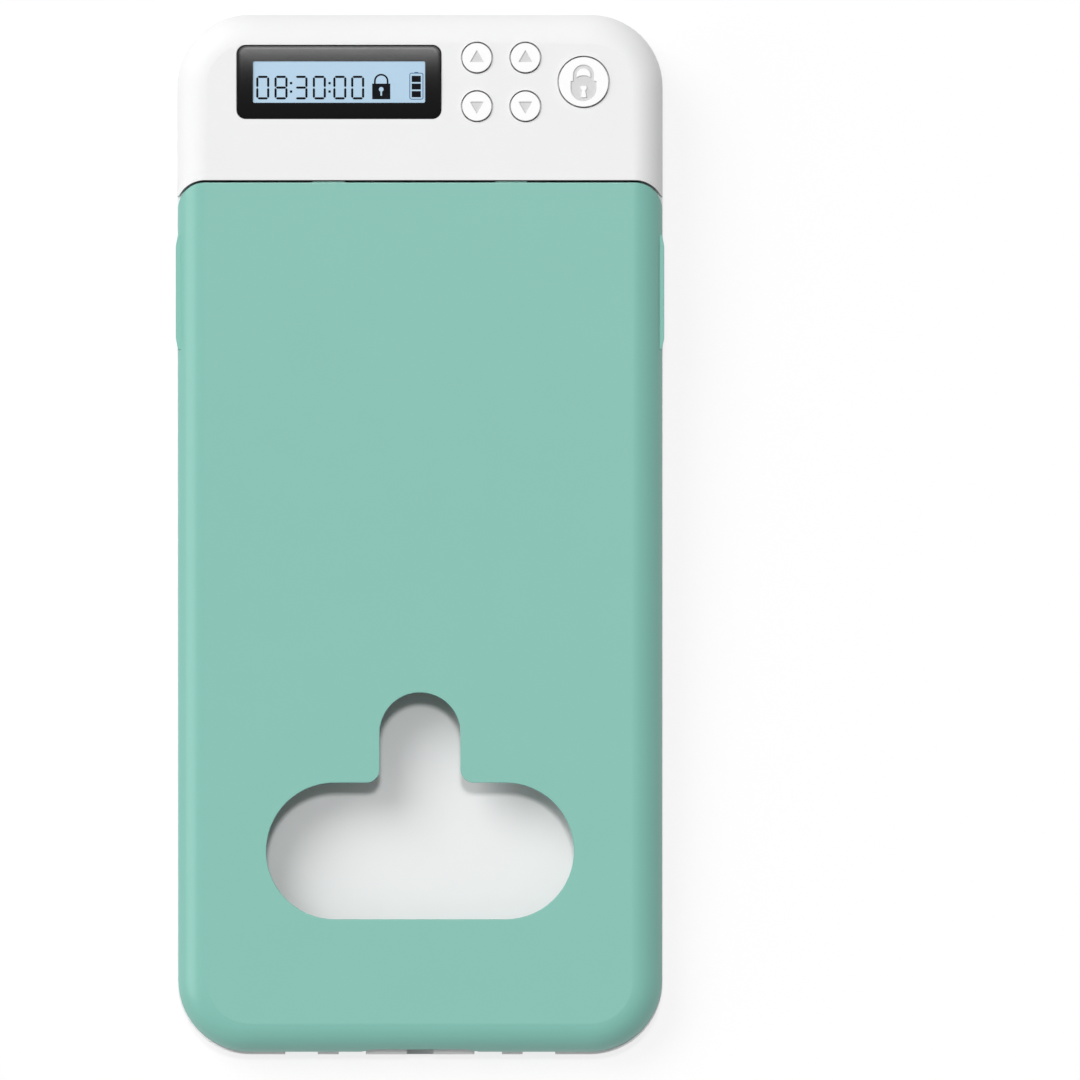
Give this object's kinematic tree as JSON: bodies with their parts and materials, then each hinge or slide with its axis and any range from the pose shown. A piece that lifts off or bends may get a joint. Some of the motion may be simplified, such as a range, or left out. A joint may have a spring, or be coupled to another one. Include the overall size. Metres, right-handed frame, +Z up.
{
  "type": "timed lock container",
  "caption": "Wedge-shaped lock box with a hinged lid that has a T-shaped call window, and a control head with a countdown display, push buttons and a motor-driven bolt.",
  "frame": {"origin": "middle of the footprint, on the surface that the rubber feet stand on", "axes": "+Z up, +Y towards the control head, +X to the right seen from above with the head at the top; the lid's hinge is at -Y"},
  "size_m": [0.1034, 0.22, 0.02],
  "materials": {
    "white_shell": "fine satin moulding",
    "foot_rubber": "matte",
    "steel_hardware": "satin",
    "display_black": "high gloss",
    "lcd": "satin",
    "board": "solder mask",
    "grey_plastic": "matte",
    "plated_steel": "satin",
    "battery_wrap": "matte film",
    "nylon": "matte",
    "lid_colour": "fine satin moulding",
    "button_white": "satin"
  },
  "bodies": {
    "housing": {"main_housing": "white_shell", "bottom_cover": "white_shell", "rubber_feet": "foot_rubber", "cover_screws": "steel_hardware", "display_lens": "display_black", "lcd_module": "lcd", "control_board": "board", "board_screws": "steel_hardware", "tact_switches": "grey_plastic", "usb_c_receptacle": "plated_steel", "battery_pack": "battery_wrap", "gearbox": "grey_plastic", "drive_motor": "plated_steel", "latch_bracket": "steel_hardware", "bracket_screws": "steel_hardware", "hinge_pins": "steel_hardware"},
    "lid_assembly": {"lid": "lid_colour", "striker": "steel_hardware", "striker_screws": "steel_hardware"},
    "bolt": {"latch_bolt": "steel_hardware"},
    "pinion": {"drive_pinion": "nylon"},
    "left_up_button_body": {"left_up_button": "button_white"},
    "left_down_button_body": {"left_down_button": "button_white"},
    "right_up_button_body": {"right_up_button": "button_white"},
    "right_down_button_body": {"right_down_button": "button_white"},
    "lock_button_body": {"lock_button": "button_white"}
  },
  "joints": [
    {"name": "lid_hinge", "type": "hinge", "parent": "housing", "child": "lid_assembly", "pos_m": [0, -0.1072, 0.00367], "axis": [1, 0, 0], "range_deg": [0, 95]},
    {"name": "bolt_slide", "type": "slide", "parent": "housing", "child": "bolt", "axis": [0, -1, 0], "range_m": [0, 0.0036]},
    {"name": "pinion_spin", "type": "hinge", "parent": "housing", "child": "pinion", "pos_m": [0.00625, 0.08309, 0.0105], "axis": [0, 0, 1], "range_deg": [0, 64.5]},
    {"name": "left_up_press", "type": "slide", "parent": "housing", "child": "left_up_button_body", "axis": [0, 0, -1], "range_m": [0, 0.0006], "stiffness_N_per_m": 1500, "springref_m": -0.0003},
    {"name": "left_down_press", "type": "slide", "parent": "housing", "child": "left_down_button_body", "axis": [0, 0, -1], "range_m": [0, 0.0006], "stiffness_N_per_m": 1500, "springref_m": -0.0003},
    {"name": "right_up_press", "type": "slide", "parent": "housing", "child": "right_up_button_body", "axis": [0, 0, -1], "range_m": [0, 0.0006], "stiffness_N_per_m": 1500, "springref_m": -0.0003},
    {"name": "right_down_press", "type": "slide", "parent": "housing", "child": "right_down_button_body", "axis": [0, 0, -1], "range_m": [0, 0.0006], "stiffness_N_per_m": 1500, "springref_m": -0.0003},
    {"name": "lock_press", "type": "slide", "parent": "housing", "child": "lock_button_body", "axis": [0, 0, -1], "range_m": [0, 0.0006], "stiffness_N_per_m": 1500, "springref_m": -0.0003}
  ],
  "couplings": [
    {"joint": "pinion_spin", "follows": "bolt_slide", "rad_per_m": 312.5}
  ]
}
